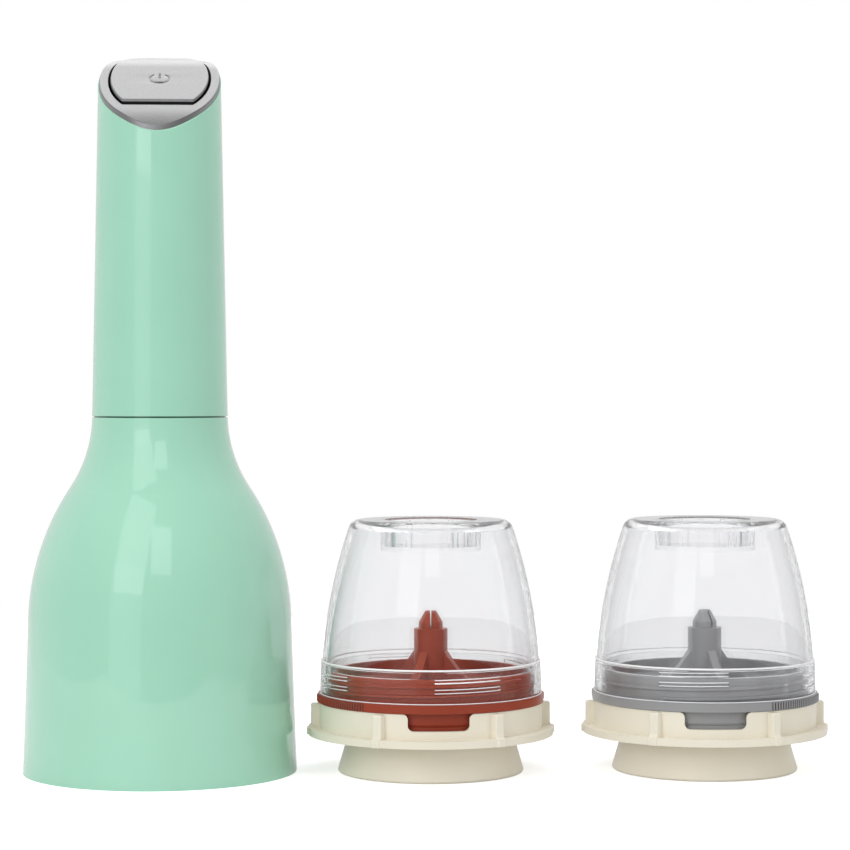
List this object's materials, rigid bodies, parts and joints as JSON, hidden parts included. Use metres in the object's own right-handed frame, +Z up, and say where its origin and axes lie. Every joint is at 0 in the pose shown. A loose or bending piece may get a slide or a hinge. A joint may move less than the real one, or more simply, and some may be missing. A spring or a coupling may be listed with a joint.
{
  "type": "electric spice grinder",
  "caption": "Battery spice mill with a bell-shaped housing and a push button on its slanted top, and clear-domed grinding pods that dock in its mouth.",
  "frame": {"origin": "centre of the mill's mouth at the surface it stands on", "axes": "+Z up along the mill, -Y towards the low side of the slanted top, +X towards the pods"},
  "size_m": [0.2351, 0.0796, 0.2093],
  "materials": {
    "mint_gloss": "glossy",
    "grey_satin": "satin",
    "rust_plastic": "satin",
    "pod_grey_plastic": "satin",
    "cream_plastic": "satin",
    "clear_plastic": "clear",
    "white_plastic": "satin",
    "dark_plastic": "matte",
    "board_green": "satin",
    "steel": "bright",
    "brass": "machined",
    "cell_jacket": "satin",
    "rubber_black": "matte",
    "silicone": "matte",
    "burr_ceramic": "fired"
  },
  "bodies": {
    "mill": {"lower_housing": "mint_gloss", "pod_chamber": "white_plastic", "pod_clips": "steel", "chamber_screws": "steel", "gearbox_housing": "white_plastic", "gearbox_cover": "white_plastic", "gearbox_screws": "steel", "output_bushing": "brass", "motor_case": "steel", "motor_end_cap": "dark_plastic", "motor_screws": "steel", "motor_terminals": "brass", "neck_ring": "rubber_black", "battery_holder": "dark_plastic", "holder_screws": "steel", "battery_1": "cell_jacket", "battery_2": "cell_jacket", "battery_3": "cell_jacket", "battery_4": "cell_jacket", "battery_contacts_lower": "steel", "battery_contacts_upper": "steel", "switch_board": "board_green", "switch_body": "dark_plastic"},
    "output": {"planet_carrier": "white_plastic", "planet_pins": "steel", "drive_coupler": "dark_plastic", "coupler_screw": "steel"},
    "rotor": {"motor_shaft": "steel", "sun_gear": "brass"},
    "planet_1": {"planet_gear_1": "white_plastic"},
    "planet_2": {"planet_gear_2": "white_plastic"},
    "planet_3": {"planet_gear_3": "white_plastic"},
    "handle": {"handle_shell": "mint_gloss", "bezel": "grey_satin", "button_retainer": "white_plastic", "button_spring": "silicone"},
    "push_button": {"button": "grey_satin"},
    "plunger": {"switch_plunger": "dark_plastic"},
    "pod_1_foot": {"pod_1_base": "cream_plastic", "pod_1_outer_burr": "burr_ceramic"},
    "pod_1_rotor": {"pod_1_collar": "rust_plastic", "pod_1_burr_shaft": "rust_plastic", "pod_1_thrust_washer": "steel", "pod_1_inner_burr": "burr_ceramic"},
    "pod_1_seal": {"pod_1_seal_ring": "silicone"},
    "pod_1_lid": {"pod_1_dome": "clear_plastic"},
    "pod_2_foot": {"pod_2_base": "cream_plastic", "pod_2_outer_burr": "burr_ceramic"},
    "pod_2_rotor": {"pod_2_collar": "pod_grey_plastic", "pod_2_burr_shaft": "pod_grey_plastic", "pod_2_thrust_washer": "steel", "pod_2_inner_burr": "burr_ceramic"},
    "pod_2_seal": {"pod_2_seal_ring": "silicone"},
    "pod_2_lid": {"pod_2_dome": "clear_plastic"}
  },
  "joints": [
    {"name": "output_turn", "type": "hinge", "parent": "mill", "child": "output", "pos_m": [0, 0, 0.0686], "axis": [0, 0, 1], "continuous": true},
    {"name": "motor_turn", "type": "hinge", "parent": "mill", "child": "rotor", "pos_m": [0, 0, 0.0709], "axis": [0, 0, 1], "continuous": true},
    {"name": "planet_1_turn", "type": "hinge", "parent": "output", "child": "planet_1", "pos_m": [0, -0.00877, 0.0709], "axis": [0, 0, 1], "continuous": true},
    {"name": "planet_2_turn", "type": "hinge", "parent": "output", "child": "planet_2", "pos_m": [0.0076, 0.00439, 0.0709], "axis": [0, 0, 1], "continuous": true},
    {"name": "planet_3_turn", "type": "hinge", "parent": "output", "child": "planet_3", "pos_m": [-0.0076, 0.00439, 0.0709], "axis": [0, 0, 1], "continuous": true},
    {"name": "handle_pull", "type": "slide", "parent": "mill", "child": "handle", "axis": [0, 0, 1], "range_m": [0, 0.09]},
    {"name": "button_press", "type": "slide", "parent": "handle", "child": "push_button", "axis": [0, 0, -1], "range_m": [0, 0.002], "stiffness_N_per_m": 400, "springref_m": -0.003, "deforming": ["button_spring"]},
    {"name": "plunger_press", "type": "slide", "parent": "mill", "child": "plunger", "axis": [0, 0, -1], "range_m": [0, 0.002]},
    {"name": "pod_1_lift", "type": "slide", "parent": "mill", "child": "pod_1_foot", "axis": [0, 0, 1], "range_m": [0, 0.1]},
    {"name": "pod_1_grind", "type": "hinge", "parent": "pod_1_foot", "child": "pod_1_rotor", "pos_m": [0.0788, -0.0042, 0.0142], "axis": [0, 0, 1], "continuous": true},
    {"name": "pod_1_dome_rise", "type": "slide", "parent": "pod_1_rotor", "child": "pod_1_seal", "axis": [0, 0, 1], "range_m": [0, 0.0042]},
    {"name": "pod_1_dome_unscrew", "type": "hinge", "parent": "pod_1_seal", "child": "pod_1_lid", "pos_m": [0.0788, -0.0042, 0.0229], "axis": [0, 0, 1], "range_deg": [0, 540]},
    {"name": "pod_2_lift", "type": "slide", "parent": "mill", "child": "pod_2_foot", "axis": [0, 0, 1], "range_m": [0, 0.1]},
    {"name": "pod_2_grind", "type": "hinge", "parent": "pod_2_foot", "child": "pod_2_rotor", "pos_m": [0.1593, -0.0042, 0.0142], "axis": [0, 0, 1], "continuous": true},
    {"name": "pod_2_dome_rise", "type": "slide", "parent": "pod_2_rotor", "child": "pod_2_seal", "axis": [0, 0, 1], "range_m": [0, 0.0042]},
    {"name": "pod_2_dome_unscrew", "type": "hinge", "parent": "pod_2_seal", "child": "pod_2_lid", "pos_m": [0.1593, -0.0042, 0.0229], "axis": [0, 0, 1], "range_deg": [0, 540]}
  ],
  "couplings": [
    {"joint": "motor_turn", "follows": "output_turn", "ratio": 6},
    {"joint": "planet_1_turn", "follows": "output_turn", "ratio": -2.5},
    {"joint": "planet_2_turn", "follows": "output_turn", "ratio": -2.5},
    {"joint": "planet_3_turn", "follows": "output_turn", "ratio": -2.5},
    {"joint": "plunger_press", "follows": "button_press", "ratio": 1},
    {"joint": "pod_1_dome_rise", "follows": "pod_1_dome_unscrew", "m_per_rad": 0.00043768},
    {"joint": "pod_2_dome_rise", "follows": "pod_2_dome_unscrew", "m_per_rad": 0.00043768}
  ]
}
